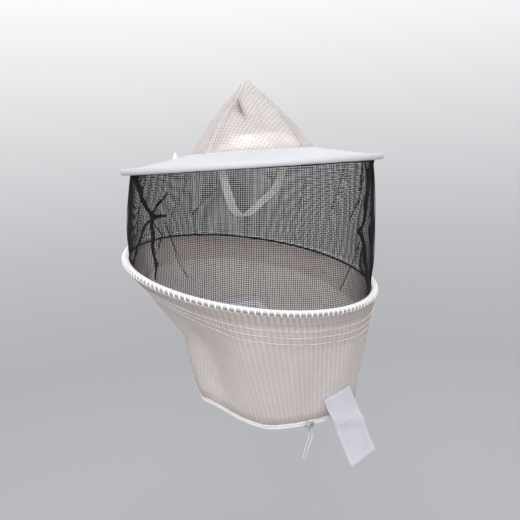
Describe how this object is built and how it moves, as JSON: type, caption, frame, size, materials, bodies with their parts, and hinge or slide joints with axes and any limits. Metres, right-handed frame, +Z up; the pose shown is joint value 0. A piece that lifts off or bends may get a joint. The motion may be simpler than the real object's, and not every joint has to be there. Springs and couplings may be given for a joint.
{
  "type": "round beekeeping hood",
  "caption": "Detachable beekeeping hood: pointed ventilated crown, wired brim, black net veil, tilted hoop and tapered skirt that ends in a neck zip with a cover flap.",
  "frame": {"origin": "centre of the head opening, in the plane where the crown meets the brim", "axes": "+Z up through the crown's peak; -Y towards the wearer's front; +X towards the wearer's left"},
  "size_m": [0.4406, 0.4508, 0.6091],
  "materials": {
    "ventilated_fabric": "open three-layer mesh, matt",
    "white_cotton": "smooth coated cotton, satin",
    "brim_core": "stiff padded mesh",
    "net": "knotted black net, matt",
    "black_tape": "woven tape, matt",
    "elastic": "knitted elastic, matt",
    "flap_cloth": "plain woven cloth, matt",
    "hook_tape": "dense hook pile, matt",
    "zip_tape": "woven tape, matt",
    "white_plastic": "moulded nylon",
    "steel": "zinc plated"
  },
  "bodies": {
    "hat": {"crown_front_panel": "ventilated_fabric", "crown_back_panel": "ventilated_fabric", "crown_left_seam_tape": "white_cotton", "crown_right_seam_tape": "white_cotton", "sweatband": "elastic", "brim_top_cover": "white_cotton", "brim_core": "brim_core", "brim_under_cover": "white_cotton", "brim_wire": "steel", "brim_wire_ferrule": "steel", "brim_binding": "white_cotton", "head_opening_binding": "white_cotton", "hanging_tab": "white_cotton", "strap_anchor_left": "white_cotton", "strap_anchor_right": "white_cotton", "veil_top_tape": "black_tape", "veil_left_panel": "net", "veil_right_panel": "net", "veil_left_seam_tape": "black_tape", "veil_right_seam_tape": "black_tape"},
    "hoop": {"veil_bottom_tape": "black_tape", "hoop_wire": "steel", "hoop_wire_ferrule": "steel", "hoop_casing": "ventilated_fabric", "hoop_facing_band": "ventilated_fabric", "skirt_panel": "ventilated_fabric", "skirt_seam_tape": "white_cotton"},
    "neck": {"zip_tape": "zip_tape", "hem_tape": "white_cotton", "zip_coil": "white_plastic", "zip_pin": "white_plastic", "zip_end_stop": "white_plastic"},
    "slider": {"zip_slider": "steel"},
    "pull": {"zip_pull_tab": "steel", "pull_cord": "white_plastic"},
    "flap": {"cover_flap": "flap_cloth", "hook_patch": "hook_tape"},
    "strap": {"chin_strap": "elastic"}
  },
  "joints": [
    {"name": "veil_fold", "type": "hinge", "parent": "hat", "child": "hoop", "pos_m": [0, 0.7188, -0.1334], "axis": [-1, 0, 0], "range_deg": [0, 10.69], "deforming": ["veil_left_panel", "veil_right_panel", "veil_left_seam_tape", "veil_right_seam_tape"]},
    {"name": "skirt_fold", "type": "slide", "parent": "hoop", "child": "neck", "axis": [0, 0, 1], "range_m": [0, 0.075], "deforming": ["skirt_panel", "skirt_seam_tape"]},
    {"name": "slider_run", "type": "hinge", "parent": "neck", "child": "slider", "pos_m": [0, -0.012, -0.432], "axis": [0, 0, 1], "range_deg": [-18, 20]},
    {"name": "pull_swing", "type": "hinge", "parent": "slider", "child": "pull", "pos_m": [-0.06746, -0.13888, -0.43], "axis": [-0.8829, 0.4695, 0], "range_deg": [0, 100]},
    {"name": "flap_lift", "type": "hinge", "parent": "neck", "child": "flap", "pos_m": [0, -0.16367, -0.39], "axis": [-1, 0, 0], "range_deg": [-15, 75]},
    {"name": "strap_swing", "type": "hinge", "parent": "hat", "child": "strap", "pos_m": [0, -0.006, -0.005], "axis": [1, 0, 0], "range_deg": [-60, 60]}
  ]
}
